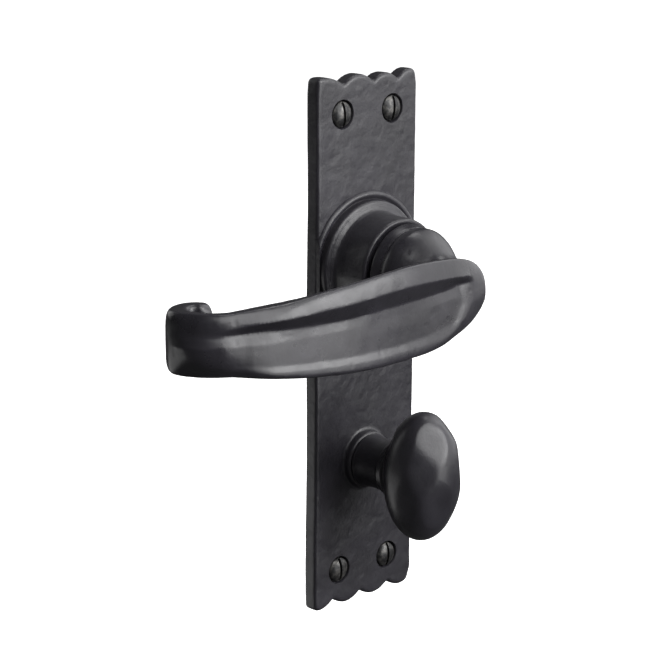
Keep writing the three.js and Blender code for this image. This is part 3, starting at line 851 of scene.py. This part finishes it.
class HANDLE_OT_inner_pieces(bpy.types.Operator):
    """Finish the inner pieces that keep their CAD shape"""
    bl_idname = "handle.inner_pieces"
    bl_label = "Inner pieces"

    def execute(self, context):
        finishes = {
            "zinc_steel": plain_metal("zinc_plate", (0.62, 0.63, 0.66), 0.28),
            "spring_steel": plain_metal("tempered_wire", (0.16, 0.16, 0.19), 0.34),
            "black_nylon": moulded_nylon("moulded_nylon"),
            "black_screw": screw_black("blackened_screw"),
        }
        replaced = {"backplate", "lever", "turn_knob"}
        for entry in frame["record"]["subparts"]:
            node = frame["nodes"][entry["node"]]
            if entry["node"] in replaced or entry["node"].startswith("wood_screw"):
                continue
            node.data.materials.clear()
            node.data.materials.append(finishes[entry["material_slot"]])
        return {"FINISHED"}


class HANDLE_OT_studio(bpy.types.Operator):
    """Set the pale floor, the soft lights and the camera"""
    bl_idname = "handle.studio"
    bl_label = "Studio"

    def execute(self, context):
        settings = context.scene.handle_studio
        scene = context.scene
        scene.view_settings.view_transform = "Standard"
        world = bpy.data.worlds.new("Studio")
        world.use_nodes = True
        world.node_tree.nodes["Background"].inputs["Color"].default_value = (1, 1, 1, 1)
        world.node_tree.nodes["Background"].inputs["Strength"].default_value = 0.08
        scene.world = world
        add_floor()
        for panel in LIGHTS:
            add_light(*panel)
        add_camera(settings)
        return {"FINISHED"}


LIGHTS = (  # name, bearing and height in degrees, distance, width and height in metres, radiance
    ("Softbox front right", 17, 9, 0.90, 0.64, 0.86, 2.3),
    ("Softbox right", 73, 16, 0.90, 1.42, 0.80, 0.95),
    ("Softbox core", 31, 20, 0.85, 0.46, 0.34, 4.3),
    ("Softbox high", 42, 50, 0.90, 1.6, 0.50, 1.35),
    ("Softbox top", -6, 44, 0.85, 0.66, 0.48, 2.2),
    ("Softbox spot", 108, 67, 0.90, 0.26, 0.26, 3.6),
    ("Fill behind", -168, 22, 0.90, 0.90, 0.60, 0.8),
    ("Reflector left", -137, -28, 0.90, 1.0, 0.46, 0.85),
)


def add_light(name, bearing, height, distance, width, tall, radiance):
    """A soft panel at a bearing (0 is straight in front, 90 right) and a height seen from the object."""
    a, e = math.radians(bearing), math.radians(height)
    away = Vector((math.sin(a) * math.cos(e), -math.cos(a) * math.cos(e), math.sin(e)))
    data = bpy.data.lights.new(name, "AREA")
    data.shape, data.size, data.size_y = "RECTANGLE", width, tall
    data.energy = 4 * radiance * width * tall
    light = bpy.data.objects.new(name, data)
    bpy.context.scene.collection.objects.link(light)
    light.location = away * distance
    light.rotation_euler = away.to_track_quat("Z", "Y").to_euler()
    light.visible_camera = False
    return light


def add_floor():
    """A pale studio dish: flat, turned up through a quarter circle, then upright, revolved about z."""
    flat, bend, top, floor_z, sides = 1.6, 0.5, 3.0, -0.14, 96
    angle = np.linspace(0, math.pi / 2, 24)
    away = np.concatenate([[0.001], flat + bend * np.sin(angle), [flat + bend]])[:, None]
    up = np.concatenate([[0], bend * (1 - np.cos(angle)), [top]])[:, None] + floor_z
    around = np.linspace(0, 2 * math.pi, sides, endpoint=False)
    points = np.stack([away * np.cos(around), away * np.sin(around), up + 0 * around], axis=2).reshape(-1, 3)
    index = np.arange(len(points)).reshape(-1, sides)
    beside = np.roll(index, -1, axis=1)
    faces = np.stack([index[:-1], beside[:-1], beside[1:], index[1:]], axis=2).reshape(-1, 4)
    mesh = bpy.data.meshes.new("floor")
    mesh.from_pydata(points.tolist(), [], faces.tolist())
    floor = add_object("floor", mesh)
    smooth(floor)
    nodes = Nodes("pale_floor")
    nodes.shader.inputs["Base Color"].default_value = (0.9, 0.9, 0.9, 1)
    nodes.shader.inputs["Roughness"].default_value = 0.9
    nodes.shader.inputs["Emission Color"].default_value = (1, 1, 1, 1)
    nodes.shader.inputs["Emission Strength"].default_value = 1.0
    mesh.materials.append(nodes.material)
    floor.visible_glossy = False
    floor.visible_diffuse = False
    return floor


def add_camera(settings):
    """Looks at the aim point from the azimuth, elevation and distance given."""
    a, e = settings.azimuth, settings.elevation
    back = Vector((math.sin(a) * math.cos(e), -math.cos(a) * math.cos(e), math.sin(e)))
    data = bpy.data.cameras.new("Camera")
    data.sensor_width, data.lens = 36, settings.lens
    data.clip_start, data.clip_end = 0.01, 20
    camera = bpy.data.objects.new("Camera", data)
    bpy.context.scene.collection.objects.link(camera)
    right = (-back).cross(Vector((0, 0, 1))).normalized()
    up = right.cross(-back)
    turn = Matrix((right, up, back)).transposed().to_4x4() @ Matrix.Rotation(settings.roll, 4, "Z")
    camera.matrix_world = Matrix.Translation(Vector(settings.aim) + back * settings.distance) @ turn
    bpy.context.scene.camera = camera


class HANDLE_PT_panel(bpy.types.Panel):
    """Lists the handle's settings and the operators that build it"""
    bl_label = "Lever handle"
    bl_idname = "HANDLE_PT_panel"
    bl_space_type = "VIEW_3D"
    bl_region_type = "UI"
    bl_category = "Handle"

    def draw(self, context):
        for key in SETTINGS:
            box = self.layout.box()
            group = getattr(context.scene, key)
            for name in group.bl_rna.properties.keys():
                if name not in ("rna_type", "name"):
                    box.prop(group, name)
        for operator in OPERATORS:
            self.layout.operator(operator.bl_idname)


SETTINGS = {
    "handle_plate": PlateSettings,
    "handle_lever": LeverSettings,
    "handle_turn": TurnSettings,
    "handle_screws": ScrewSettings,
    "handle_finish": FinishSettings,
    "handle_studio": StudioSettings,
}
OPERATORS = (HANDLE_OT_studio, HANDLE_OT_backplate, HANDLE_OT_lever, HANDLE_OT_thumb_turn,
             HANDLE_OT_screws, HANDLE_OT_inner_pieces)


def register():
    for kind in (*SETTINGS.values(), *OPERATORS, HANDLE_PT_panel):
        bpy.utils.register_class(kind)
    for key, group in SETTINGS.items():
        setattr(bpy.types.Scene, key, PointerProperty(type=group))


def unregister():
    for key in SETTINGS:
        delattr(bpy.types.Scene, key)
    for kind in reversed((*SETTINGS.values(), *OPERATORS, HANDLE_PT_panel)):
        bpy.utils.unregister_class(kind)


def main():
    register()
    for operator in OPERATORS:
        group, name = operator.bl_idname.split(".")
        getattr(getattr(bpy.ops, group), name)()
    bpy.context.view_layer.update()


if __name__ == "__main__":
    main()
